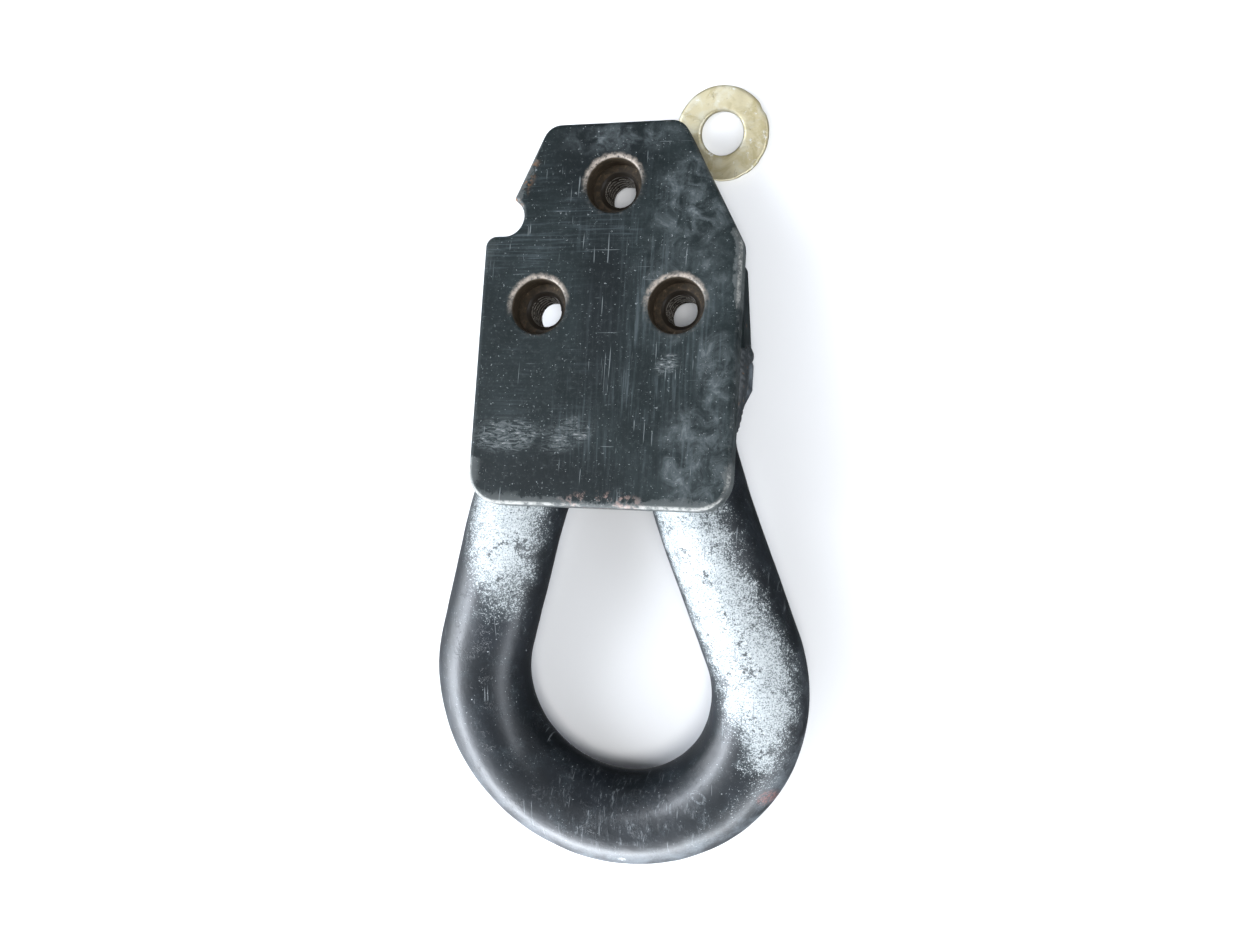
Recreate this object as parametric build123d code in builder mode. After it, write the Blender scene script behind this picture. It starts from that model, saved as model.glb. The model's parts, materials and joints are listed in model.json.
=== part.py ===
"""Bolt-on vehicle tow hook: a closed loop of round bar welded behind a three-bolt plate.

The hook lies face up, as it rests on a bench: on the bottom of its loop and on the top
edge of the nut plate behind its mounting plate. Everything but the washer is laid out in
the plate's own axes, x across the plate, y towards its top and z out of its face, from
the centre of the bolt circle. Those axes lean back by the angle that the hook rests at,
so +Z of the model is up.
"""

import os
from math import asin, atan2, cos, radians, sin, tan

from build123d import *

# ---- driving dimensions, in millimetres and degrees --------------------------------

# bolt pattern and its threads (M12)
BOLT_CIRCLE_D = 50.0
BOLT_COUNT = 3
CLEARANCE_HOLE_D = 16.9
HOLE_RIM_ROUNDING = 1.0
THREAD_MINOR_D = 10.2
THREAD_CHAMFER = 1.0

# mounting plate, stamped from 1/4 in plate
PLATE_T = 6.35
PLATE_HALF_W = 40.8
PLATE_TOP_Y = 45.1
PLATE_BOTTOM_Y = -73.4
PLATE_TOP_LEFT_X = -22.3
PLATE_TOP_RIGHT_X = 20.4
RIGHT_SHOULDER_Y = 6.5
LEFT_SHOULDER_Y = 10.0
NOTCH_R = 6.0
NOTCH_X = -34.8
NOTCH_OPENS_AT = 66.0
NOTCH_TIP_R = 0.8
TOP_CORNER_R = 6.0
SHOULDER_R = 8.0
NOTCH_CORNER_R = 3.5
BOTTOM_CORNER_R = 10.0
FACE_EDGE_ROUNDING = 1.6
BACK_EDGE_ROUNDING = 0.5

# round bar and its loop
BAR_D = 30.2
LOOP_R = 45.9
RIGHT_LEG_ANGLE = 19.2
LEFT_LEG_ANGLE = 16.0
LOOP_DIP = 18.0
LOOP_CENTRE_BELOW_PLATE = 55.45
RIGHT_NECK_X = 21.9
LEFT_NECK_X = 24.8
NECK_BEND_R = 35.0
DIP_BEND_R = 50.0

# pressed ends of the bar, where it is welded to the plate
PAD_X = 24.6
PAD_W = 34.8
PAD_T = 24.0
PAD_CORNER_R = 10.9
PAD_TOP_Y = -24.0
PAD_START_Y = -34.0
ROUND_END_Y = -43.0
PAD_END_ROUNDING = 3.0

# nut plate behind the three holes
NUT_PLATE_T = 12.0
NUT_PLATE_TOP = (13.0, 39.5)
NUT_PLATE_SHOULDER = (24.0, 14.0)
NUT_PLATE_SIDE = (39.2, 3.0)
NUT_PLATE_BOTTOM_HALF_W = 41.8
NUT_PLATE_CORNER_R = 3.0
NUT_PLATE_EDGE = 1.0
NUT_PLATE_WELD = 3.5
NUT_PLATE_WELD_FROM_Y = 5.0

# weld beads
SIDE_WELD_BOTTOM_Y = -50.0
SIDE_WELD_TOP_Y = -26.0
GROOVE_WELD_DEPTH = 8.0
OUTER_WELD_ROOT_X = 29.0
INNER_WELD_ROOT_X = 14.5
BEAD_LAP = 0.6
BEAD_CROWN = 0.6
END_WELD_LEG = 4.5
END_WELD_HALF_W = 9.5

# loose M12 flat washer, lying beside the hook
WASHER_OD = 29.0
WASHER_ID = 13.5
WASHER_T = 2.5
WASHER_X = 29.4
WASHER_Y = 40.8
WASHER_EDGE = 0.3

# ---- sizes worked out from them ----------------------------------------------------

BAR_R = BAR_D / 2
BAR_DEPTH = PLATE_T + BAR_R
PAD_DEPTH = PLATE_T + PAD_T / 2
NOTCH_Y = LEFT_SHOULDER_Y + NOTCH_R


def in_loop(x, d):
    """A point of the bar's centre line, x across and d down the dipping loop."""
    y = PLATE_BOTTOM_Y - d * cos(radians(LOOP_DIP))
    z = -BAR_DEPTH - d * sin(radians(LOOP_DIP))
    return Vector(x, y, z)


def rest_angle():
    """Lean of the hook on a flat floor: the tangent to its loop and to its nut plate's edge."""
    loop = in_loop(0, LOOP_CENTRE_BELOW_PLATE + LOOP_R)
    run = NUT_PLATE_TOP[1] - NUT_PLATE_EDGE - loop.Y
    rise = NUT_PLATE_EDGE - PLATE_T - NUT_PLATE_T - loop.Z
    slope = atan2(rise, run)
    wedge = asin((BAR_R - NUT_PLATE_EDGE) / (run**2 + rise**2) ** 0.5)
    return slope + wedge


LEAN = rest_angle()
FLOOR_Z = (
    -(PLATE_T + NUT_PLATE_T - NUT_PLATE_EDGE) * cos(LEAN)
    - (NUT_PLATE_TOP[1] - NUT_PLATE_EDGE) * sin(LEAN)
    - NUT_PLATE_EDGE
)

face = Plane(origin=(0, 0, 0), x_dir=(1, 0, 0), z_dir=(0, sin(LEAN), cos(LEAN)))
plate_back = face.offset(-PLATE_T)


def at(x, y, z):
    """A point of the plate's axes, in the model's own."""
    return face.from_local_coords(Vector(x, y, z))


def across_bar(x, y, z):
    """A plane square to the plate's y, its own y pointing out of the plate's face."""
    return Plane(origin=at(x, y, z), x_dir=face.x_dir, z_dir=-face.y_dir)


def along_axis(x):
    """A plane square to the plate's x, its own x towards the plate's top."""
    return Plane(origin=at(x, 0, 0), x_dir=face.y_dir, z_dir=face.x_dir)


def rims(part, radius):
    """The circular edges of one radius."""
    circles = part.edges().filter_by(GeomType.CIRCLE)
    return circles.filter_by(lambda edge: abs(edge.radius - radius) < 0.01)


# ---- mounting plate ----------------------------------------------------------------


def on_notch(angle):
    """A point of the half-round notch, by its angle from +x."""
    x = NOTCH_X + NOTCH_R * cos(radians(angle))
    y = NOTCH_Y + NOTCH_R * sin(radians(angle))
    return (x, y)


def corner(outline, x, y):
    """The outline's corner nearest to a point."""
    return outline.vertices().sort_by_distance((x, y, 0))[0]


with BuildPart() as mounting_plate:
    with BuildSketch(face) as outline:
        with BuildLine():
            Polyline(
                on_notch(-90),
                (-PLATE_HALF_W, LEFT_SHOULDER_Y),
                (-PLATE_HALF_W, PLATE_BOTTOM_Y),
                (PLATE_HALF_W, PLATE_BOTTOM_Y),
                (PLATE_HALF_W, RIGHT_SHOULDER_Y),
                (PLATE_TOP_RIGHT_X, PLATE_TOP_Y),
                (PLATE_TOP_LEFT_X, PLATE_TOP_Y),
                on_notch(NOTCH_OPENS_AT),
            )
            ThreePointArc(on_notch(NOTCH_OPENS_AT), on_notch(-15), on_notch(-90))
        make_face()
        fillet(corner(outline, -PLATE_HALF_W, PLATE_BOTTOM_Y), BOTTOM_CORNER_R)
        fillet(corner(outline, PLATE_HALF_W, PLATE_BOTTOM_Y), BOTTOM_CORNER_R)
        fillet(corner(outline, PLATE_TOP_LEFT_X, PLATE_TOP_Y), TOP_CORNER_R)
        fillet(corner(outline, PLATE_TOP_RIGHT_X, PLATE_TOP_Y), TOP_CORNER_R)
        fillet(corner(outline, PLATE_HALF_W, RIGHT_SHOULDER_Y), SHOULDER_R)
        fillet(corner(outline, -PLATE_HALF_W, LEFT_SHOULDER_Y), NOTCH_CORNER_R)
        fillet(corner(outline, *on_notch(NOTCH_OPENS_AT)), NOTCH_TIP_R)
    extrude(amount=-PLATE_T)
    through_plate = mounting_plate.faces().sort_by(Axis(face.origin, face.z_dir))
    fillet(through_plate[-1].edges(), FACE_EDGE_ROUNDING)
    through_plate = mounting_plate.faces().sort_by(Axis(face.origin, face.z_dir))
    fillet(through_plate[0].edges(), BACK_EDGE_ROUNDING)
    with BuildSketch(face):
        with PolarLocations(BOLT_CIRCLE_D / 2, BOLT_COUNT, start_angle=90):
            Circle(CLEARANCE_HOLE_D / 2)
    extrude(amount=-PLATE_T, mode=Mode.SUBTRACT)
    hole_rims = rims(mounting_plate, CLEARANCE_HOLE_D / 2)
    fillet(hole_rims.group_by(Axis(face.origin, face.z_dir))[-1], HOLE_RIM_ROUNDING)
mounting_plate.part.label = "mounting_plate"


# ---- bar, bent to a loop, with pressed ends -------------------------------------------


NECKS = {1: RIGHT_NECK_X, -1: -LEFT_NECK_X}


def leg(side, angle):
    """Corners of one leg's centre line, from its pressed end down to the loop.

    The legs lean by different angles, so the loop sits a little askew on its necks.
    """
    lean = radians(angle)
    foot_x = LOOP_R * cos(lean)
    foot_d = LOOP_CENTRE_BELOW_PLATE - LOOP_R * sin(lean)
    x_at_plate = foot_x - foot_d * tan(lean)
    neck_x = abs(NECKS[side])
    neck_y = PLATE_BOTTOM_Y + (x_at_plate - neck_x) / tan(lean)
    return [
        at(side * neck_x, ROUND_END_Y, -BAR_DEPTH),
        at(side * neck_x, neck_y, -BAR_DEPTH),
        at(side * x_at_plate, PLATE_BOTTOM_Y, -BAR_DEPTH),
        at(*in_loop(side * foot_x, foot_d)),
    ]


with BuildPart() as loop_bar:
    with BuildLine() as centre_line:
        right_leg = leg(1, RIGHT_LEG_ANGLE)
        left_leg = leg(-1, LEFT_LEG_ANGLE)
        left_leg.reverse()
        bottom = at(*in_loop(0, LOOP_CENTRE_BELOW_PLATE + LOOP_R))
        FilletPolyline(*right_leg, radius=(NECK_BEND_R, DIP_BEND_R))
        ThreePointArc(right_leg[-1], bottom, left_leg[0])
        FilletPolyline(*left_leg, radius=(DIP_BEND_R, NECK_BEND_R))
    with BuildSketch(across_bar(NECKS[1], ROUND_END_Y, -BAR_DEPTH)):
        Circle(BAR_R)
    sweep(path=centre_line.line)
    for side in (1, -1):
        with BuildSketch(across_bar(NECKS[side], ROUND_END_Y, -BAR_DEPTH)):
            Circle(BAR_R)
        with BuildSketch(across_bar(side * PAD_X, PAD_START_Y, -PAD_DEPTH)):
            RectangleRounded(PAD_W, PAD_T, PAD_CORNER_R)
        loft()
        with BuildSketch(across_bar(side * PAD_X, PAD_TOP_Y, -PAD_DEPTH)):
            RectangleRounded(PAD_W, PAD_T, PAD_CORNER_R)
        extrude(amount=PAD_TOP_Y - PAD_START_Y)
    pad_ends = loop_bar.faces().group_by(Axis(face.origin, face.y_dir))[-1]
    fillet(pad_ends.edges(), PAD_END_ROUNDING)
loop_bar.part.label = "loop_bar"


# ---- nut plate, tapped behind the three holes -----------------------------------------


def right_half(growth):
    """Right half of the nut plate's outline, from its bottom up, grown outwards."""
    side, shoulder, top = NUT_PLATE_SIDE, NUT_PLATE_SHOULDER, NUT_PLATE_TOP
    return [
        (NUT_PLATE_BOTTOM_HALF_W + growth, PAD_TOP_Y),
        (side[0] + growth, side[1] + growth * 0.5),
        (shoulder[0] + growth * 0.75, shoulder[1] + growth * 0.7),
        (top[0] + growth * 0.7, top[1] + growth),
    ]


def nut_outline(growth=0.0):
    """The nut plate's outline, or the same grown outwards for the bead around it."""
    right = right_half(growth)
    left = [(-x, y) for x, y in reversed(right)]
    with BuildSketch() as outline:
        with BuildLine():
            Polyline(*right, *left, close=True)
        make_face()
        upper = outline.vertices().filter_by(lambda v: v.Y > PAD_TOP_Y + 1)
        fillet(upper, NUT_PLATE_CORNER_R + growth)
    return outline.sketch


with BuildPart() as nut_plate:
    with BuildSketch(plate_back):
        add(nut_outline())
        with PolarLocations(BOLT_CIRCLE_D / 2, BOLT_COUNT, start_angle=90):
            Circle(THREAD_MINOR_D / 2, mode=Mode.SUBTRACT)
    extrude(amount=-NUT_PLATE_T)
    through_plate = nut_plate.faces().sort_by(Axis(face.origin, face.z_dir))
    fillet(through_plate[0].outer_wire().edges(), NUT_PLATE_EDGE)
    chamfer(rims(nut_plate, THREAD_MINOR_D / 2), THREAD_CHAMFER)
nut_plate.part.label = "nut_plate"

with BuildPart() as weld_nut_plate:
    with BuildSketch(plate_back):
        add(nut_outline(NUT_PLATE_WELD))
    with BuildSketch(plate_back.offset(-NUT_PLATE_WELD)):
        add(nut_outline(0.01))
    loft()
    with BuildSketch(plate_back):
        add(nut_outline())
    extrude(amount=-NUT_PLATE_T, mode=Mode.SUBTRACT)
    with BuildSketch(plate_back):
        with Locations((0, NUT_PLATE_WELD_FROM_Y)):
            bead_w = 2 * (PLATE_HALF_W - BACK_EDGE_ROUNDING)
            Rectangle(bead_w, PLATE_HALF_W, align=(Align.CENTER, Align.MIN))
    extrude(amount=-NUT_PLATE_T, mode=Mode.INTERSECT)
weld_nut_plate.part.label = "weld_nut_plate"


# ---- beads that hold the bar's ends to the plate's back ------------------------------


def groove_bead(side, toe_x, crown_x, foot_x, root_x):
    """Section of a bead in the groove between the plate's back and a pad's corner."""
    foot_z = -PLATE_T - GROOVE_WELD_DEPTH
    with BuildSketch() as section:
        with BuildLine():
            toe = (side * toe_x, -PLATE_T)
            crown = (side * crown_x, -PLATE_T - GROOVE_WELD_DEPTH / 2)
            foot = (side * foot_x, foot_z)
            Polyline(foot, (side * root_x, foot_z), (side * root_x, -PLATE_T), toe)
            ThreePointArc(toe, crown, foot)
        make_face()
    return section.sketch


def outer_bead(side):
    """Section of the bead along the outer side of one pressed end."""
    pad_side = PAD_X + PAD_W / 2
    toe = PLATE_HALF_W - BACK_EDGE_ROUNDING
    return groove_bead(side, toe, pad_side, pad_side - BEAD_LAP, OUTER_WELD_ROOT_X)


def inner_bead(side):
    """Section of the bead along the inner side of one pressed end."""
    pad_side = PAD_X - PAD_W / 2
    return groove_bead(side, pad_side, pad_side, pad_side + BEAD_LAP, INNER_WELD_ROOT_X)


with BuildPart() as weld_outer_right:
    with BuildSketch(across_bar(0, SIDE_WELD_TOP_Y, 0)):
        add(outer_bead(1))
    extrude(amount=SIDE_WELD_TOP_Y - SIDE_WELD_BOTTOM_Y)
    add(loop_bar.part, mode=Mode.SUBTRACT)
weld_outer_right.part.label = "weld_outer_right"

with BuildPart() as weld_outer_left:
    with BuildSketch(across_bar(0, SIDE_WELD_TOP_Y, 0)):
        add(outer_bead(-1))
    extrude(amount=SIDE_WELD_TOP_Y - SIDE_WELD_BOTTOM_Y)
    add(loop_bar.part, mode=Mode.SUBTRACT)
weld_outer_left.part.label = "weld_outer_left"

with BuildPart() as weld_inner_right:
    with BuildSketch(across_bar(0, SIDE_WELD_TOP_Y, 0)):
        add(inner_bead(1))
    extrude(amount=SIDE_WELD_TOP_Y - SIDE_WELD_BOTTOM_Y)
    add(loop_bar.part, mode=Mode.SUBTRACT)
weld_inner_right.part.label = "weld_inner_right"

with BuildPart() as weld_inner_left:
    with BuildSketch(across_bar(0, SIDE_WELD_TOP_Y, 0)):
        add(inner_bead(-1))
    extrude(amount=SIDE_WELD_TOP_Y - SIDE_WELD_BOTTOM_Y)
    add(loop_bar.part, mode=Mode.SUBTRACT)
weld_inner_left.part.label = "weld_inner_left"

with BuildPart() as weld_end_right:
    with BuildSketch(along_axis(PAD_X)):
        with BuildLine():
            back = -PLATE_T - NUT_PLATE_T
            crown_leg = END_WELD_LEG * BEAD_CROWN
            foot = (PAD_TOP_Y, back - END_WELD_LEG)
            toe = (PAD_TOP_Y + END_WELD_LEG, back)
            crown = (PAD_TOP_Y + crown_leg, back - crown_leg)
            Polyline(foot, (PAD_TOP_Y, back), toe)
            ThreePointArc(toe, crown, foot)
        make_face()
    extrude(amount=END_WELD_HALF_W, both=True)
weld_end_right.part.label = "weld_end_right"

with BuildPart() as weld_end_left:
    mirror(weld_end_right.part, about=Plane.YZ)
weld_end_left.part.label = "weld_end_left"


# ---- loose washer, flat on what the hook lies on -------------------------------------

with BuildPart() as washer:
    with BuildSketch(Plane.XY.offset(FLOOR_Z)):
        with Locations((WASHER_X, WASHER_Y)):
            Circle(WASHER_OD / 2)
            Circle(WASHER_ID / 2, mode=Mode.SUBTRACT)
    extrude(amount=WASHER_T)
    chamfer(washer.edges(), WASHER_EDGE)
washer.part.label = "washer"


# ---- files ---------------------------------------------------------------------------

os.makedirs("parts", exist_ok=True)
pieces = [
    mounting_plate,
    loop_bar,
    nut_plate,
    weld_nut_plate,
    weld_outer_right,
    weld_outer_left,
    weld_inner_right,
    weld_inner_left,
    weld_end_right,
    weld_end_left,
    washer,
]
for piece in pieces:
    export_step(piece.part, f"parts/{piece.part.label}.step")
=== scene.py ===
"""Looks of the three-bolt tow hook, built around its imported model.

Lengths in the constants are millimetres in the plate's own axes (x across, y towards the
plate's top, z out of its face), unless they say otherwise; the scene itself is in metres.
"""
import json
import math

import bpy
from mathutils import Matrix, Vector
from mathutils.noise import noise as perlin

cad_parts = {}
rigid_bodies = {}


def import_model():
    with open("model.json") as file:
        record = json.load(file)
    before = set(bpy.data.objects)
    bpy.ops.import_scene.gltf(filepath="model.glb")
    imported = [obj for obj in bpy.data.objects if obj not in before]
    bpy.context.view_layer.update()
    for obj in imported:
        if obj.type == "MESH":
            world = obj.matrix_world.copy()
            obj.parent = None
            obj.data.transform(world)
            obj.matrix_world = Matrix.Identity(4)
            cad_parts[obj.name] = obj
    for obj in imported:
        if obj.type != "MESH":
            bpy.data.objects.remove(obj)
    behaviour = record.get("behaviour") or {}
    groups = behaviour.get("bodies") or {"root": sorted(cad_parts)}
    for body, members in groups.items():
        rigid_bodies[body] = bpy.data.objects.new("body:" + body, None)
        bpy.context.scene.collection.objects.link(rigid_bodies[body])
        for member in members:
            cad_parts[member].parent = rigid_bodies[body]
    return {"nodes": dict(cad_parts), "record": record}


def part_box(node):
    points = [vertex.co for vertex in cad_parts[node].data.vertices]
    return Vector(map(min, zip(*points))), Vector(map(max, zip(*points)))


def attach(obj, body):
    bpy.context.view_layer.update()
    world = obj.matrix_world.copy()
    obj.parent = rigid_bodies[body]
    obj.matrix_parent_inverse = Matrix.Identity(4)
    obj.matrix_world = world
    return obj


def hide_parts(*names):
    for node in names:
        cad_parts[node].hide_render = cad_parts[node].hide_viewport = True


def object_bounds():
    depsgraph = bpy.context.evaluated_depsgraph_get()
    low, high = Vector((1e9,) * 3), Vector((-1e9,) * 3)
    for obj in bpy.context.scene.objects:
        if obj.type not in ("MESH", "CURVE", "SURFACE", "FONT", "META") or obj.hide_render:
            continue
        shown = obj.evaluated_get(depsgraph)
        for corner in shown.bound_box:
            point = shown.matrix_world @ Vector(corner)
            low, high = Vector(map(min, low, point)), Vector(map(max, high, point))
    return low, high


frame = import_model()
cad_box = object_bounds()
nodes = frame["nodes"]
MM = 0.001


# ---- places, read from the frame ---------------------------------------------------------

def mount(name):
    return next(m for m in frame["record"]["mounts"] if m["name"] == name)


FACE_Z = Vector(mount("mating_face")["axis"]).normalized()
FACE_X = Vector((1.0, 0.0, 0.0))
FACE_Y = FACE_Z.cross(FACE_X)
FACE = Matrix((FACE_X, FACE_Y, FACE_Z)).transposed()
LEAN = math.atan2(FACE_Z.y, FACE_Z.z)
FLOOR_Z = cad_box[0][2]
THREAD_NAMES = ("thread_top", "thread_left", "thread_right")
HOLES = [FACE.transposed() @ Vector(mount(n)["pos_m"]) / MM for n in THREAD_NAMES]
THREAD_R = mount("thread_top")["dims"]["r_mm"]
THREAD_LENGTH = mount("thread_top")["dims"]["length_mm"]
HOLE_R = mount("bolt_circle")["dims"]["hole_r_mm"]


def low_corner(name):
    """The lowest x, y and z of a CAD node in the plate's axes, in millimetres."""
    corners = [FACE.transposed() @ v.co / MM for v in nodes[name].data.vertices]
    return [min(c[i] for c in corners) for i in range(3)]


_, BOTTOM_Y, BACK_Z = low_corner("mounting_plate")
NUT_BACK_Z = low_corner("nut_plate")[2]


# ---- shapes of the bar -------------------------------------------------------------------

BAR_R = 15.1
LOOP_R = 45.9
LOOP_CENTRE_D = 55.45
LOOP_DIP = math.radians(18.0)
LEG_LEANS = {1: math.radians(19.2), -1: math.radians(16.0)}
NECK_X = {1: 21.9, -1: -24.8}
NECK_BEND_R = 35.0
DIP_BEND_R = 50.0
ROUND_END_Y = -43.0
PAD_X = 24.6
PAD_W = 34.8
PAD_T = 24.0
PAD_CORNER_R = 10.9
PAD_TOP_Y = -24.0
PAD_START_Y = -34.0
PAD_END_ROUNDING = 3.0
AROUND = 144
STEP = 1.0
ARC_POINTS = 400
PAD_BLEND_STEPS, PAD_STEPS, PAD_END_STEPS = 8, 4, 7

# the forged skin's unevenness: height, fineness and shift of each noise
WAVES = [(0.16, 0.055, (0, 0, 0)), (0.07, 0.16, (9, 4, 1)), (0.025, 0.6, (0, 0, 0))]


def to_row(p):
    return FACE @ (Vector(p) * MM)


def in_loop(x, d):
    """A point of the bar's centre line: x across and d down the dipping loop."""
    y = BOTTOM_Y - d * math.cos(LOOP_DIP)
    return Vector((x, y, BACK_Z - BAR_R - d * math.sin(LOOP_DIP)))


def rounded(corners, radii, step):
    """A polyline in space with its inner corners replaced by arcs."""
    out = [corners[0]]
    for before, at, after, radius in zip(corners, corners[1:], corners[2:], radii):
        back, on = (before - at).normalized(), (after - at).normalized()
        turn = math.pi - back.angle(on)
        reach = radius * math.tan(turn / 2)
        centre = at + (back + on).normalized() * (radius / math.cos(turn / 2))
        first = at + back * reach - centre
        square = (at + on * reach - centre) - first * math.cos(turn)
        square = square.normalized() * radius
        count = max(3, int(radius * turn / step))
        for i in range(count + 1):
            a = turn * i / count
            out.append(centre + first * math.cos(a) + square * math.sin(a))
    return out + [corners[-1]]


def even(points, step):
    """The same polyline, walked in even steps."""
    total = sum((b - a).length for a, b in zip(points, points[1:]))
    count = max(2, round(total / step))
    out, walked, k = [points[0]], 0.0, 0
    for i in range(1, count):
        goal = total * i / count
        while walked + (points[k + 1] - points[k]).length < goal:
            walked += (points[k + 1] - points[k]).length
            k += 1
        span = (points[k + 1] - points[k]).length
        out.append(points[k].lerp(points[k + 1], (goal - walked) / span))
    return out + [points[-1]]


def leg(side):
    lean = LEG_LEANS[side]
    foot_x = LOOP_R * math.cos(lean)
    foot_d = LOOP_CENTRE_D - LOOP_R * math.sin(lean)
    x_at_plate = foot_x - foot_d * math.tan(lean)
    neck_x = abs(NECK_X[side])
    neck_y = BOTTOM_Y + (x_at_plate - neck_x) / math.tan(lean)
    z = BACK_Z - BAR_R
    corners = [Vector((side * neck_x, ROUND_END_Y, z)), Vector((side * neck_x, neck_y, z)),
               Vector((side * x_at_plate, BOTTOM_Y, z)), in_loop(side * foot_x, foot_d)]
    return rounded(corners, (NECK_BEND_R, DIP_BEND_R), 0.5)


def bar_line():
    """The bar's centre line from the right neck round the loop to the left neck."""
    start, end = -LEG_LEANS[1], math.pi + LEG_LEANS[-1]
    arc = []
    for i in range(1, ARC_POINTS):
        a = start + (end - start) * i / ARC_POINTS
        arc.append(in_loop(LOOP_R * math.cos(a), LOOP_CENTRE_D + LOOP_R * math.sin(a)))
    return even(leg(1) + arc + leg(-1)[::-1], STEP)


def new_piece(name, verts, faces, body="hook", attributes=None):
    """A mesh piece from points in the plate's axes."""
    mesh = bpy.data.meshes.new(name)
    mesh.from_pydata([to_row(v) for v in verts], [], faces)
    mesh.validate()
    mesh.polygons.foreach_set("use_smooth", [True] * len(mesh.polygons))
    for key, values in (attributes or {}).items():
        layer = mesh.attributes.new(key, "FLOAT", "POINT")
        layer.data.foreach_set("value", values)
    obj = bpy.data.objects.new(name, mesh)
    bpy.context.scene.collection.objects.link(obj)
    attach(obj, body)
    return obj


def tube_faces(rings, around, offset=0):
    """Faces of a tube of rings of points, closed at both ends."""
    faces = []
    for i in range(rings - 1):
        for j in range(around):
            a, b = offset + i * around + j, offset + i * around + (j + 1) % around
            faces.append((a, b, b + around, a + around))
    faces.append(tuple(offset + j for j in reversed(range(around))))
    faces.append(tuple(offset + (rings - 1) * around + j for j in range(around)))
    return faces


def ease(low, high, value):
    t = min(1.0, max(0.0, (value - low) / (high - low)))
    return t * t * (3.0 - 2.0 * t)


def superround(angle, w, t, r):
    """A point of a rounded rectangle in one direction: angle 0 is up, 90 degrees outward."""
    ux, uy = math.sin(angle), math.cos(angle)
    cx, cy = max(0.0, w / 2 - r), max(0.0, t / 2 - r)
    reach = math.inf
    if abs(ux) > 1e-9:
        hit = (w / 2) / abs(ux)
        if abs(uy) * hit <= cy:
            reach = hit
    if abs(uy) > 1e-9:
        hit = (t / 2) / abs(uy)
        if abs(ux) * hit <= cx:
            reach = min(reach, hit)
    if reach == math.inf:
        b = cx * abs(ux) + cy * abs(uy)
        c = cx * cx + cy * cy - r * r
        reach = b + math.sqrt(max(0.0, b * b - c))
    return ux * reach, uy * reach


# where the tops of the legs are rubbed bare: distance below the plate, then the middle
# and the half width of the rubbed band in degrees round the bar (0 up, positive outward)
RUBBED_LEG = {
    1: [(-40, -16, 46), (2, -15, 47), (15, -14, 52), (27, -10, 53), (39, -5, 54),
        (51, 4, 51), (61, 14, 42), (70, 27, 26), (82, 38, 14), (90, 42, 4)],
    -1: [(-40, 0, 56), (0, -2, 56), (12, -12, 47), (22, -22, 36), (30, -28, 27), (44, -30, 12)],
}
RUBBED_TO = {1: (60, 98), -1: (12, 46)}    # where the rubbing fades out, below the plate
RUBBED_FADE = (-42, 34)                    # how softly the band ends, in degrees from its edge
UNDER_PLATE = -30                          # the distance given to the pads, which lie behind it


def frost_on_leg(side, d, angle):
    """How bare the bar is rubbed: 1 in the middle of the band, 0.5 at its edge, 0 beyond."""
    table = RUBBED_LEG[side]
    low, high = next(((a, b) for a, b in zip(table, table[1:]) if a[0] <= d < b[0]), (table[-1],) * 2)
    f = (d - low[0]) / (high[0] - low[0]) if high[0] > low[0] else 0.0
    middle, half = (p + (q - p) * f for p, q in zip(low[1:], high[1:]))
    inner, outer = (half + fade for fade in RUBBED_FADE)
    across = 1.0 - ease(inner, outer, abs(math.degrees(angle) - middle))
    return across * (1.0 - ease(*RUBBED_TO[side], d))


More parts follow.
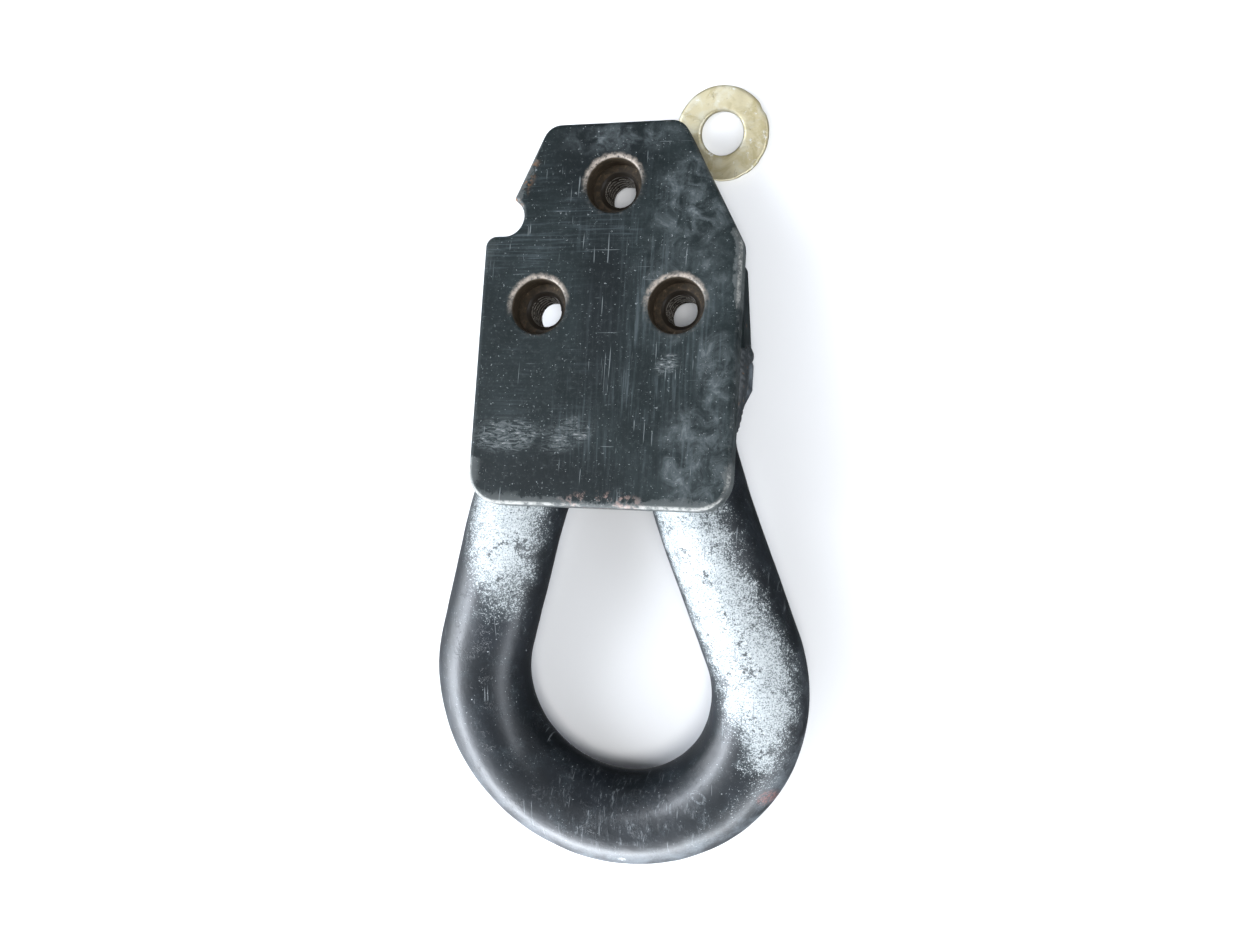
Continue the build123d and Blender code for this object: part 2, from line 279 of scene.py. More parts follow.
def build_bar():
    line = bar_line()
    count = len(line)
    verts, frost, along, upward = [], [], [], []
    total = sum((b - a).length for a, b in zip(line, line[1:]))

    def add_ring(centre, out, up, size, d, side, s):
        for j in range(AROUND):
            angle = 2 * math.pi * j / AROUND
            w, t, r = size
            px, pz = superround(angle, w, t, r)
            p = centre + out * px + up * pz
            push = sum(height * perlin(p * fine + Vector(shift)) for height, fine, shift in WAVES)
            p = p + (out * px + up * pz).normalized() * push
            verts.append(p)
            turned = angle if angle <= math.pi else angle - 2 * math.pi
            frost.append(frost_on_leg(side, d, turned))
            along.append(s)
            upward.append(turned)

    across = Vector((1, 0, 0))
    up = Vector((0, 0, 1))
    round_size = (2 * BAR_R, 2 * BAR_R, BAR_R)

    def pad(side, backwards):
        """Rings that widen the bar's end into its flattened pad and round the pad off."""
        rings = []
        for i in range(1, PAD_BLEND_STEPS + 1):
            f = i / PAD_BLEND_STEPS
            y = ROUND_END_Y + (PAD_START_Y - ROUND_END_Y) * f
            size = tuple(a + (b - a) * f for a, b in zip(round_size, (PAD_W, PAD_T, PAD_CORNER_R)))
            x = NECK_X[side] + (side * PAD_X - NECK_X[side]) * f
            z = BACK_Z - BAR_R + (BAR_R - PAD_T / 2) * f
            rings.append((Vector((x, y, z)), size))
        for i in range(1, PAD_STEPS + 1):
            y = PAD_START_Y + (PAD_TOP_Y - PAD_END_ROUNDING - PAD_START_Y) * i / PAD_STEPS
            rings.append((Vector((side * PAD_X, y, BACK_Z - PAD_T / 2)), (PAD_W, PAD_T, PAD_CORNER_R)))
        for i in range(1, PAD_END_STEPS + 1):
            a = math.pi / 2 * i / PAD_END_STEPS
            inset = PAD_END_ROUNDING * (1 - math.cos(a))
            y = PAD_TOP_Y - PAD_END_ROUNDING * (1 - math.sin(a))
            size = (PAD_W - 2 * inset, PAD_T - 2 * inset, PAD_CORNER_R - inset)
            rings.append((Vector((side * PAD_X, y, BACK_Z - PAD_T / 2)), size))
        for centre, size in (rings[::-1] if backwards else rings):
            add_ring(centre, across * side, up, size, UNDER_PLATE, side, 0.0)
        return len(rings)

    made = pad(1, True)
    walked = 0.0
    for i, centre in enumerate(line):
        forward = (line[min(i + 1, count - 1)] - line[max(i - 1, 0)]).normalized()
        lift = (up - forward * up.dot(forward)).normalized()
        outward = lift.cross(forward)
        side = 1 if i < count / 2 else -1
        d = (BOTTOM_Y - centre.y) / math.cos(LOOP_DIP)
        add_ring(centre, outward, lift, round_size, d, side, walked - total / 2)
        if i + 1 < count:
            walked += (line[i + 1] - centre).length
        made += 1
    made += pad(-1, False)
    piece = new_piece("bent_bar", verts, tube_faces(made, AROUND),
                      attributes={"frost": frost, "along": along, "around": upward})
    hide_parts("loop_bar")
    return piece


# ---- weld beads --------------------------------------------------------------------------

RIPPLE_PITCH = 1.9
RIPPLE_LAG = 0.75            # how far a ripple's flanks lag behind its crest, as a part of the radius
BEAD_TIP = 0.12              # the least radius, at a bead's ends, as a part of the full one
BEAD_STEP = 0.45
BEAD_AROUND = 32
BEAD_R = {"round": 2.7, "outer": 3.9, "inner": 3.5, "end": 3.0}
ROUND_CORNER_R, END_CORNER_R = 3.5, 5.0
CORNER_STEP = 0.4

# paths of the right-hand beads, across and up the plate, and how far behind its back they lie;
# the left-hand beads mirror them
ROUND_NUT_PLATE = [(39.3, 5.2), (24.3, 14.4), (13.4, 39.8)]
OUTER_FLANK = [(38.4, -21.0), (38.8, -35.0), (37.4, -42.0), (36.0, -50.0)]
INNER_FLANK = [(9.6, -26.0), (9.6, -36.0), (10.6, -50.0)]
ROUND_SINK, OUTER_SINK, INNER_SINK = 0.4, 3.6, 2.6

# across and out of the plate, over the end of the bar
OVER_END = [(14.5, NUT_BACK_Z - 0.3), (39.6, NUT_BACK_Z - 0.3), (40.4, BACK_Z - 2.0)]


def build_bead(name, path, radius, outward, replaced, seed=0.0):
    """A rippled bead along a path; outward is the direction that it bulges to."""
    points = even(path, BEAD_STEP)
    verts = []
    total = sum((b - a).length for a, b in zip(points, points[1:]))
    walked = 0.0
    for i, centre in enumerate(points):
        forward = (points[min(i + 1, len(points) - 1)] - points[max(i - 1, 0)]).normalized()
        face_out = outward(centre) if callable(outward) else Vector(outward)
        lift = (face_out - forward * face_out.dot(forward)).normalized()
        sideways = forward.cross(lift)
        end = min(walked, total - walked)
        taper = math.sqrt(max(0.0, 1.0 - (1.0 - min(1.0, end / (radius * 0.9))) ** 2))
        taper = max(BEAD_TIP, taper)
        wander = 1.0 + 0.12 * perlin(Vector((walked * 0.14, seed, 1.7)))
        for j in range(BEAD_AROUND):
            a = 2 * math.pi * j / BEAD_AROUND
            phase = (walked + radius * RIPPLE_LAG * (1 - math.cos(a))) / RIPPLE_PITCH + seed
            phase += 0.35 * perlin(Vector((walked * 0.3, seed, 4.0)))
            ripple = abs(math.sin(math.pi * phase)) ** 0.7
            away = lift * math.cos(a) + sideways * math.sin(a)
            r = radius * taper * wander * (0.93 + 0.12 * ripple)
            r += 0.10 * perlin((centre + away) * 0.9 + Vector((seed, 0, 0)))
            verts.append(centre + away * r)
        if i + 1 < len(points):
            walked += (points[i + 1] - centre).length
    piece = new_piece(name, verts, tube_faces(len(points), BEAD_AROUND))
    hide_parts(replaced)
    return piece


def build_beads():
    z = BACK_Z
    outline = [Vector((x, y, z - ROUND_SINK)) for x, y in ROUND_NUT_PLATE]
    outline += [Vector((-x, y, z - ROUND_SINK)) for x, y in reversed(ROUND_NUT_PLATE)]
    middle = Vector((0, 10, z))
    round_path = rounded(outline, (ROUND_CORNER_R,) * 4, CORNER_STEP)
    build_bead("bead_round_nut_plate", round_path, BEAD_R["round"],
               lambda p: (p - middle).normalized() - Vector((0, 0, 1)), "weld_nut_plate", seed=0.3)
    for side, word in ((1, "right"), (-1, "left")):
        outer = [Vector((side * x, y, z - OUTER_SINK)) for x, y in OUTER_FLANK]
        build_bead(f"bead_outer_{word}", outer, BEAD_R["outer"], (side, 0, -0.9),
                   f"weld_outer_{word}", seed=1.1 + side)
        inner = [Vector((side * x, y, z - INNER_SINK)) for x, y in INNER_FLANK]
        build_bead(f"bead_inner_{word}", inner, BEAD_R["inner"], (-side, 0, -0.9),
                   f"weld_inner_{word}", seed=3.7 + side)
        corner = [Vector((side * x, PAD_TOP_Y - 0.8, out)) for x, out in OVER_END]
        inside = Vector((side * 30, PAD_TOP_Y - 6, z - 4))
        build_bead(f"bead_end_{word}", rounded(corner, (END_CORNER_R,), CORNER_STEP), BEAD_R["end"],
                   lambda p, inside=inside: p - inside, f"weld_end_{word}", seed=6.1 + side)


# ---- tapped holes of the nut plate ----------------------------------------------------------

THREAD_PITCH = 1.75
THREAD_HEIGHT = 0.42
THREAD_ROOT = 0.12      # how far the ridges' feet stand in the wall
THREAD_PAST = 0.5       # how far the ridges run past the bore's ends
THREAD_FADE = 0.4       # the part of a turn in which they rise and fade
THREAD_AROUND = 64
FOOT_PART = 0.49        # half a ridge's foot and half its crest, as parts of the pitch
CREST_PART = 0.09


def build_nut_plate():
    """The nut plate's own shape with thread ridges wound into its three holes."""
    source = nodes["nut_plate"].data
    back = FACE.transposed()
    verts = [back @ v.co / MM for v in source.vertices]
    faces = [tuple(p.vertices) for p in source.polygons]
    smooth = [p.use_smooth for p in source.polygons]
    for hole in HOLES:
        top_z = hole.z + THREAD_LENGTH / 2 + THREAD_PAST
        low_z = hole.z - THREAD_LENGTH / 2 - THREAD_PAST
        turns = (top_z - low_z) / THREAD_PITCH
        count = int(turns * THREAD_AROUND)
        offset = len(verts)
        for i in range(count + 1):
            a = 2 * math.pi * i / THREAD_AROUND
            z = top_z - THREAD_PITCH * i / THREAD_AROUND
            fade = min(1.0, min(i, count - i) / (THREAD_AROUND * THREAD_FADE))
            crest = THREAD_R - THREAD_HEIGHT * fade
            root = THREAD_R + THREAD_ROOT
            half = THREAD_PITCH * FOOT_PART * max(0.15, fade)
            flat = THREAD_PITCH * CREST_PART
            for r, dz in ((root, half), (crest, flat), (crest, -flat), (root, -half)):
                verts.append(Vector((hole.x + r * math.cos(a), hole.y + r * math.sin(a), z + dz)))
        made = tube_faces(count + 1, 4, offset)
        faces += [tuple(reversed(f)) for f in made]
        smooth += [False] * len(made)
    piece = new_piece("tapped_nut_plate", verts, faces)
    piece.data.polygons.foreach_set("use_smooth", smooth)
    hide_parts("nut_plate")
    return piece


# ---- washer --------------------------------------------------------------------------------

WASHER_HOLE_R = 6.75
WASHER_EDGE = 0.35
WASHER_AROUND = 160

# the rounded upper edges: distance from the hole's wall or in from the rim, and depth below the top
HOLE_ROUNDING = [(0.12, WASHER_EDGE), (WASHER_EDGE, 0.08), (0.9, 0.0)]
RIM_ROUNDING = [(0.8, 0.0), (0.3, 0.1), (0.05, 0.4), (0.0, 0.8)]
TOP_STEPS, BACK_STEPS = 8, 4


def build_washer():
    low, high = (Vector(p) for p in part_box("washer"))
    centre = (low + high) / 2
    r_out, thick = (high.x - low.x) / 2 / MM, (high.z - low.z) / MM
    inner_r, outer_r = WASHER_HOLE_R + HOLE_ROUNDING[-1][0], r_out - RIM_ROUNDING[0][0]
    ring = [(WASHER_HOLE_R, WASHER_EDGE)] + [(WASHER_HOLE_R + r, thick - depth) for r, depth in HOLE_ROUNDING]
    ring += [(inner_r + (outer_r - inner_r) * i / TOP_STEPS, thick) for i in range(1, TOP_STEPS)]
    ring += [(r_out - r, thick - depth) for r, depth in RIM_ROUNDING]
    ring += [(r_out, 0.5), (r_out - WASHER_EDGE, 0.0)]
    ring += [(r_out - (r_out - WASHER_HOLE_R) * i / BACK_STEPS, 0.0) for i in range(1, BACK_STEPS)]
    ring.append((WASHER_HOLE_R + WASHER_EDGE, 0.0))
    verts, faces = [], []
    m = len(ring)
    for i in range(WASHER_AROUND):
        a = 2 * math.pi * i / WASHER_AROUND
        for r, z in ring:
            p = Vector((r * math.cos(a), r * math.sin(a), z))
            rough = perlin(p * 0.35 + Vector((3, 1, 0)))
            edge = ease(r_out - 1.5, r_out, r)
            nick = edge * max(0.0, perlin(Vector((math.cos(a) * 3.1, math.sin(a) * 3.1, 8.0))) - 0.25)
            r2 = r - 0.9 * nick + 0.05 * edge * rough
            z2 = z + (0.05 * rough - 0.06 * max(0.0, perlin(p * 0.9)) if z > thick * 0.7 else 0.0)
            z2 = min(z2, thick)
            row = centre + Vector((r2 * math.cos(a), r2 * math.sin(a), z2 - thick / 2)) * MM
            verts.append(FACE.transposed() @ row / MM)
    for i in range(WASHER_AROUND):
        n = (i + 1) % WASHER_AROUND
        for j in range(m):
            k = (j + 1) % m
            faces.append((i * m + j, i * m + k, n * m + k, n * m + j))
    piece = new_piece("worn_washer", verts, faces, body="washer")
    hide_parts("washer")
    return piece


# ---- materials -------------------------------------------------------------------------------

ENDLESS = 1e6


class Surface:
    """One procedural material, its patterns laid out in the plate's axes in millimetres."""

    def __init__(self, name, colour, rough, metallic=0.0):
        self.mat = bpy.data.materials.new(name)
        self.mat.use_nodes = True
        self.tree = self.mat.node_tree
        self.shader = self.tree.nodes["Principled BSDF"]
        self.colour, self.rough, self.metallic, self.height = colour, rough, metallic, None
        coord = self.new("ShaderNodeTexCoord")
        self.local = self.mapping(coord.outputs["Object"], turn=(LEAN, 0, 0), size=(1 / MM,) * 3)
        self.normal = self.mapping(coord.outputs["Normal"], turn=(LEAN, 0, 0))

    def new(self, kind, **settings):
        node = self.tree.nodes.new(kind)
        for key, value in settings.items():
            setattr(node, key, value)
        return node

    def put(self, socket, value):
        if isinstance(value, bpy.types.NodeSocket):
            self.tree.links.new(value, socket)
        else:
            socket.default_value = value

    def mapping(self, vector, turn=(0, 0, 0), size=(1, 1, 1), at=(0, 0, 0), kind="POINT"):
        node = self.new("ShaderNodeMapping", vector_type=kind)
        self.put(node.inputs["Vector"], vector)
        node.inputs["Rotation"].default_value = turn
        node.inputs["Scale"].default_value = size
        node.inputs["Location"].default_value = at
        return node.outputs[0]

    def split(self, vector):
        node = self.new("ShaderNodeSeparateXYZ")
        self.put(node.inputs[0], vector)
        return node.outputs

    def math(self, kind, a, b=0.0, clamp=False, c=None):
        node = self.new("ShaderNodeMath", operation=kind, use_clamp=clamp)
        self.put(node.inputs[0], a)
        self.put(node.inputs[1], b)
        if c is not None:
            self.put(node.inputs[2], c)
        return node.outputs[0]

    def vector(self, kind, a, b=None, out=0):
        node = self.new("ShaderNodeVectorMath", operation=kind)
        self.put(node.inputs[0], a)
        if b is not None:
            self.put(node.inputs[1], b)
        return node.outputs[out]

    def step(self, value, low, high):
        node = self.new("ShaderNodeMapRange", interpolation_type="SMOOTHSTEP")
        self.put(node.inputs[0], value)
        node.inputs[1].default_value = low
        node.inputs[2].default_value = high
        return node.outputs[0]

    def blend(self, mask, a, b):
        node = self.new("ShaderNodeMapRange")
        self.put(node.inputs[0], mask)
        self.put(node.inputs[3], a)
        self.put(node.inputs[4], b)
        return node.outputs[0]

    def noise(self, scale, detail=3.0, rough=0.55, stretch=(1, 1, 1), shift=(0, 0, 0), bend=0.0, turn=0.0):
        node = self.new("ShaderNodeTexNoise")
        turned = (0, 0, math.radians(turn))
        self.put(node.inputs["Vector"], self.mapping(self.local, turn=turned, size=stretch, at=shift))
        node.inputs["Scale"].default_value = scale
        node.inputs["Detail"].default_value = detail
        node.inputs["Roughness"].default_value = rough
        node.inputs["Distortion"].default_value = bend
        return node.outputs[0]

    def patch(self, at, size, turn=0.0):
        """1 in the middle of an ellipse on the plate, falling to 0 at its edge, at any depth."""
        inside = self.mapping(self.local, at=(*at, 0), turn=(0, 0, math.radians(turn)),
                              size=(*size, ENDLESS), kind="TEXTURE")
        far = self.vector("LENGTH", inside, out=1)
        return self.math("SUBTRACT", 1.0, far, clamp=True)

    def patches(self, rows):
        """The strongest of several soft patches, from rows like those of the tables below."""
        made = []
        for at, size, turn, soft, strength in rows:
            patch = self.step(self.patch(at, size, turn), 0.0, soft)
            made.append(patch if strength == 1 else self.times(patch, strength))
        return self.most(*made)

    def about_holes(self, mask):
        """The strongest of the three holes' masks, each made from the distance to its axis."""
        flat = self.vector("MULTIPLY", self.local, (1, 1, 0))
        away = [self.vector("SUBTRACT", flat, (hole.x, hole.y, 0)) for hole in HOLES]
        return self.most(*(mask(self.vector("LENGTH", v, out=1)) for v in away))

    def uneven(self, value, noise, amount):
        """A value moved up and down by a noise."""
        return self.math("ADD", value, self.times(self.math("SUBTRACT", noise, 0.5), amount))

    def times(self, *values):
        out = values[0]
        for value in values[1:]:
            out = self.math("MULTIPLY", out, value)
        return out

    def most(self, *values):
        out = values[0]
        for value in values[1:]:
            out = self.math("MAXIMUM", out, value)
        return out

    def attribute(self, name):
        return self.new("ShaderNodeAttribute", attribute_name=name).outputs["Fac"]

    def over(self, mask, colour=None, rough=None, metallic=None):
        if colour is not None:
            node = self.new("ShaderNodeMix", data_type="RGBA")
            self.put(node.inputs[0], mask)
            for socket, value in ((node.inputs[6], self.colour), (node.inputs[7], colour)):
                self.put(socket, value if isinstance(value, bpy.types.NodeSocket) else (*value, 1.0))
            self.colour = node.outputs[2]
        if rough is not None:
            self.rough = self.blend(mask, self.rough, rough)
        if metallic is not None:
            self.metallic = self.blend(mask, self.metallic, metallic)

    def lift(self, height, amount):
        """Adds relief: amount in millimetres for a height of 1."""
        raised = self.math("MULTIPLY", height, amount)
        self.height = raised if self.height is None else self.math("ADD", self.height, raised)

    def finish(self, coat=0.0, coat_rough=0.1, specular=0.5):
        shader = self.shader
        self.put(shader.inputs["Base Color"], self.colour)
        self.put(shader.inputs["Roughness"], self.rough)
        self.put(shader.inputs["Metallic"], self.metallic)
        shader.inputs["Specular IOR Level"].default_value = specular
        self.put(shader.inputs["Coat Weight"], coat)
        shader.inputs["Coat Roughness"].default_value = coat_rough
        if self.height is not None:
            bump = self.new("ShaderNodeBump")
            bump.inputs["Strength"].default_value = 1.0
            bump.inputs["Distance"].default_value = MM
            self.put(bump.inputs["Height"], self.height)
            self.put(shader.inputs["Normal"], bump.outputs[0])
        return self.mat


def upper_rim_highlight(m, rim):
    """The parts of the holes' rims that face up the plate, which get a painted highlight."""
    flat = m.vector("MULTIPLY", m.local, (1, 1, 0))
    made = []
    for hole in HOLES:
        dx, dy, _ = m.split(m.vector("NORMALIZE", m.vector("SUBTRACT", flat, (hole.x, hole.y, 0))))
        near = m.step(m.vector("DISTANCE", flat, (hole.x, hole.y, 0), out=1), 2 * HOLE_R, 2 * HOLE_R - 0.5)
        lean = m.math("ADD", dy, m.math("MULTIPLY", dx, -0.15))
        made.append(m.times(rim, near, m.step(lean, -0.25, 0.75)))
    return m.most(*made)


# the plate's outline, for the wear along it: directions outward and a point of each side
OUTLINE = [
    ((-1, 0), (-40.8, 0)), ((1, 0), (40.8, 0)), ((0, -1), (0, -73.4)), ((0, 1), (0, 45.1)),
    ((38.6, 20.4), (40.8, 6.5)), ((-23.9, 9.4), (-22.3, 45.1)),
]


def edge_distance(m):
    """Roughly how far a point of the plate is from its outline, in millimetres."""
    least = None
    for (nx, ny), at in OUTLINE:
        n = Vector((nx, ny, 0)).normalized()
        far = m.vector("DOT_PRODUCT", m.local, (-n.x, -n.y, 0), out=1)
        far = m.math("ADD", far, n.x * at[0] + n.y * at[1])
        least = far if least is None else m.math("SMOOTH_MIN", least, far, c=5.0)
    return least


PAINT = (0.008, 0.0125, 0.013)
PAINT_PALE = (0.019, 0.027, 0.028)
SCUFF = (0.085, 0.100, 0.104)
RUBBED = (0.17, 0.19, 0.195)
STEEL = (0.62, 0.60, 0.57)
RUST = (0.066, 0.047, 0.029)
DARK_RUST = (0.030, 0.023, 0.015)


# soft patches: centre, half sizes, turn in degrees, softness (0 hard, 1 soft), strength
LEVEL_BRUSHED = [((-18, 12), (36, 24), 0, 0.5, 1), ((-22, -35), (30, 30), 0, 0.6, 0.5)]
UPRIGHT_BRUSHED = [((12, -38), (40, 55), 0, 0.55, 1), ((8, 12), (26, 34), 0, 0.6, 0.8)]
# painted shade: darker patches of the flat face, standing in for dark reflections on it
PAINTED_SHADE = [((-4, 34), (26, 26), 0, 0.8, 0.75), ((-1, -12), (11, 40), 0, 0.8, 0.7),
          ((-20, -64), (40, 12), 0, 0.8, 0.5)]
SCUFFED = [((26, 20), (17, 22), -28, 0.7, 1), ((2, 40), (26, 7), 0, 0.7, 0.8),
           ((31, -58), (15, 24), 0, 0.6, 1), ((35, -32), (8, 15), 0, 0.6, 1),
           ((24, -4), (22, 30), 0, 0.8, 0.45)]
SCRAPED = [((-29, -52.5), (13, 6.5), 3, 0.5, 1), ((-10, -52), (11, 6), 20, 0.6, 0.75),
           ((20, -30.5), (5, 3.5), 35, 0.6, 0.9)]
WORN_EDGES = [((-36, -69), (16, 12), 0, 0.3, 1.25), ((-30, -73), (26, 10), 0, 0.25, 1),
              ((26, -74), (16, 6), 0, 0.3, 1.15), ((0, -74), (60, 7), 0, 0.35, 0.8),
              ((36, -68), (16, 12), 0, 0.4, 0.75), ((-30, 30), (12, 22), 20, 0.4, 0.6),
              ((41, -2), (4, 14), 0, 0.4, 0.9), ((40, 6), (7, 7), 0, 0.4, 0.7)]
LEAST_WEAR = 0.32
BROWN_EDGE = [((-31, 27), (10, 18), 20, 0.5, 1)]
PINK_EDGE = [((2, -72), (16, 4), 0, 0.5, 1)]
FLOOR_MARKED = [((4, -166), (36, 16), 0, 0.5, 1)]
RED_MARK = [((49.5, -157.5), (4.2, 2.4), 40, 0.6, 1)]
NICK_AT = (2.9, -182)
RING_AT, RING_TURN, RING_R = (29, -159), -0.5, (2.3, 1.5)

# scratches on the bar: turn in degrees, stretch, shift
BAR_SCRATCHES = [(14, (1.5, 0.07, 0.07), (0, 0, 5)), (-52, (1.4, 0.06, 0.06), (3, 1, 0)),
                 (80, (1.6, 0.05, 0.05), (1, 9, 2))]
BRUSHED_DARK = (0.007, 0.010, 0.011)


def brush_marks(m):
    """Level marks to the left of the holes, upright ones below them and to the right."""
    level = m.noise(1.0, 3, 0.65, stretch=(0.06, 1.3, 0.05), shift=(5, 0, 0), bend=0.15)
    upright = m.noise(1.0, 3, 0.65, stretch=(0.85, 0.045, 0.05), shift=(0, 4, 0), bend=0.2)
    patchy = m.step(m.noise(0.07, 4, 0.6, shift=(8, 1, 3)), 0.38, 0.62)
    kinds = ((level, LEVEL_BRUSHED, 0.74, 0.30, (0.066, 0.082, 0.090)),
             (upright, UPRIGHT_BRUSHED, 0.76, 0.28, (0.066, 0.081, 0.087)))
    for marks, rows, pale_to, dark_to, pale in kinds:
        area = m.patches(rows)
        m.over(m.times(m.step(marks, 0.46, pale_to), area, patchy, 0.85), pale, 0.46)
        m.over(m.times(m.step(marks, 0.50, dark_to), area, 0.6), BRUSHED_DARK, 0.34)
        m.lift(m.times(marks, area), 0.03)


def scuffs(m):
    """Cloudy scuffs, and the scraped patch low on the left of the plate."""
    cloud = m.noise(0.17, 7, 0.68, shift=(2, 1, 0), bend=0.6)
    area = m.patches(SCUFFED)
    m.over(m.times(m.step(cloud, 0.38, 0.68), area, 0.9), SCUFF, 0.55)
    m.over(m.times(m.step(cloud, 0.56, 0.74), area, 0.7), RUBBED, 0.6)
    m.lift(m.times(cloud, area), -0.05)

    scrape = m.noise(0.55, 6, 0.72, stretch=(0.45, 1.5, 1), shift=(1, 7, 0), bend=1.2)
    scraped = m.patches(SCRAPED)
    m.over(m.times(m.step(scrape, 0.44, 0.56), scraped, 0.9), (0.095, 0.108, 0.110), 0.6)
    m.over(m.times(m.step(scrape, 0.58, 0.65), scraped), (0.28, 0.29, 0.29), 0.6)


def plate_scratches(m):
    upright = m.noise(1.0, 1, 0.4, stretch=(1.6, 0.05, 0.1), shift=(9, 3, 0), bend=0.3)
    slant = m.noise(1.0, 2, 0.5, stretch=(0.045, 2.0, 0.1), turn=62)
    gate = m.step(m.noise(0.11, 2, 0.5, shift=(4, 4, 4)), 0.52, 0.6)
    m.over(m.times(m.step(upright, 0.70, 0.73), gate, 0.7), RUBBED, 0.5)
    m.over(m.times(m.step(slant, 0.70, 0.73), gate, 0.6), RUBBED, 0.5)
    speck = m.noise(1.9, 2, 0.5, shift=(7, 7, 1))
    m.over(m.step(speck, 0.75, 0.775), (0.50, 0.53, 0.54), 0.6)
    m.over(m.times(m.step(m.noise(1.3, 3, 0.6, shift=(2, 7, 5)), 0.66, 0.71), 0.8), (0.22, 0.24, 0.245), 0.6)


def worn_edges(m, up):
    """The bare rounding of the plate's edge, a ragged strip beside it, and the side walls."""
    edge = edge_distance(m)
    ragged = m.noise(0.42, 6, 0.7, shift=(2, 2, 2))
    wear = m.most(m.patches(WORN_EDGES), LEAST_WEAR)
    reach = m.math("SUBTRACT", m.times(wear, 3.6), edge)
    strip = m.step(m.uneven(reach, ragged, 9.0), 0.3, 1.6)
    strip = m.times(strip, m.step(edge, 5.0, 1.5), m.step(wear, 0.2, 0.6))
    m.over(m.times(strip, 0.55), (0.12, 0.13, 0.128), 0.52, 0.1)
    m.lift(strip, -0.05)
    turned = m.times(m.step(up, 0.985, 0.86), m.step(up, 0.05, 0.35))
    chipped = m.math("ADD", m.times(ragged, 0.6), m.times(m.noise(1.1, 4, 0.7, shift=(6, 0, 0)), 0.5))
    bare = m.times(turned, m.step(m.math("ADD", chipped, m.times(wear, 0.26)), 0.70, 0.92))
    m.over(m.times(turned, m.step(wear, 0.3, 0.8), 0.6), (0.075, 0.08, 0.078), 0.55, 0.1)
    m.over(m.times(bare, 0.85), (0.34, 0.34, 0.32), 0.55, 0.25)
    brown = m.times(m.patches(BROWN_EDGE), m.step(m.noise(0.5, 4, 0.6, shift=(1, 5, 9)), 0.5, 0.62),
                    m.step(edge, 4.0, 0.5))
    m.over(brown, (0.20, 0.10, 0.045), 0.6, 0.1)
    pink = m.times(m.patches(PINK_EDGE), m.step(ragged, 0.5, 0.62))
    m.over(m.times(pink, 0.6), (0.34, 0.23, 0.20), 0.5, 0.2)
    side = m.step(up, 0.3, 0.05)
    walls = m.noise(0.6, 5, 0.65, stretch=(1, 1, 0.35))
    m.over(m.times(side, m.step(walls, 0.45, 0.7)), (0.045, 0.05, 0.048), 0.55)
    m.over(m.times(side, m.step(walls, 0.66, 0.74)), (0.16, 0.15, 0.13), 0.5, 0.4)


def worn_bores(m):
    """Rusty walls of the plate's holes, the wear round their rims, and a painted highlight mixed with pale
    dust on their upper rims.
    """
    ragged = m.noise(0.5, 4, 0.6, shift=(6, 6, 0))
    rim = m.about_holes(lambda far: m.times(m.step(far, HOLE_R - 0.1, HOLE_R + 0.3),
                                            m.step(m.uneven(far, ragged, 1.6), HOLE_R + 2.3, HOLE_R + 0.6)))
    bore = m.about_holes(lambda far: m.step(far, HOLE_R + 0.45, HOLE_R + 0.05))
    blotches = m.noise(0.9, 5, 0.7, shift=(0, 3, 3))
    m.over(m.times(rim, m.step(blotches, 0.42, 0.80), 0.5), (0.12, 0.112, 0.10), 0.5, 0.2)
    # painted highlight with pale dust: beige crescents on the upper side of each hole's rim
    m.over(m.times(upper_rim_highlight(m, rim), m.step(blotches, 0.26, 0.62), 0.9), (0.42, 0.36, 0.305), 0.52, 0.2)
    m.over(bore, DARK_RUST, 0.6, 0.2)
    lines = m.noise(1.0, 4, 0.6, stretch=(0.25, 0.25, 3.0))
    m.over(m.times(bore, m.step(lines, 0.4, 0.7)), RUST, 0.62, 0.2)
    m.over(m.times(bore, m.step(blotches, 0.58, 0.74)), (0.16, 0.125, 0.085), 0.55, 0.3)


def plate_material():
    m = Surface("plate_paint_worn", PAINT, 0.36)
    broad = m.noise(0.045, 4, 0.6, shift=(3, 8, 0))
    m.over(m.times(m.step(broad, 0.35, 0.7), 0.7), PAINT_PALE, 0.42)
    fine = m.noise(0.9, 4, 0.7)
    m.over(m.times(m.step(fine, 0.5, 0.8), 0.45), (0.05, 0.06, 0.062), 0.5)
    brush_marks(m)
    # painted shade: darker paint in the patches of the table above
    m.over(m.patches(PAINTED_SHADE), (0.004, 0.006, 0.007), 0.40)
    mottle = m.noise(0.55, 6, 0.75, shift=(4, 2, 0))
    m.over(m.times(m.step(mottle, 0.52, 0.72), 0.42), (0.060, 0.070, 0.072), 0.5)
    scuffs(m)
    plate_scratches(m)
    worn_edges(m, up=m.split(m.normal)[2])
    worn_bores(m)
    m.lift(m.noise(0.16, 3, 0.5), 0.10)
    m.lift(m.noise(1.6, 4, 0.6), 0.018)
    return m.finish(specular=0.24)


def bar_dust(m, grain, lumps):
    """Fine wear all over the bar, denser on the loop's lower rim."""
    along, around = m.attribute("along"), m.attribute("around")
    low_rim = m.times(m.step(m.math("ABSOLUTE", along), 95, 30), m.step(around, 0.55, 1.15),
                      m.step(around, 2.5, 1.7))
    mixed = m.math("ADD", m.times(grain, 0.5), m.times(lumps, 0.5))
    m.over(m.times(m.step(mixed, 0.48, 0.64), 0.5), (0.028, 0.038, 0.044), 0.46)
    mixed = m.math("ADD", lumps, m.times(grain, 0.6))
    m.over(m.times(low_rim, m.step(mixed, 0.60, 0.95), 0.8), (0.13, 0.15, 0.165), 0.52)
    m.lift(m.times(low_rim, grain), 0.03)


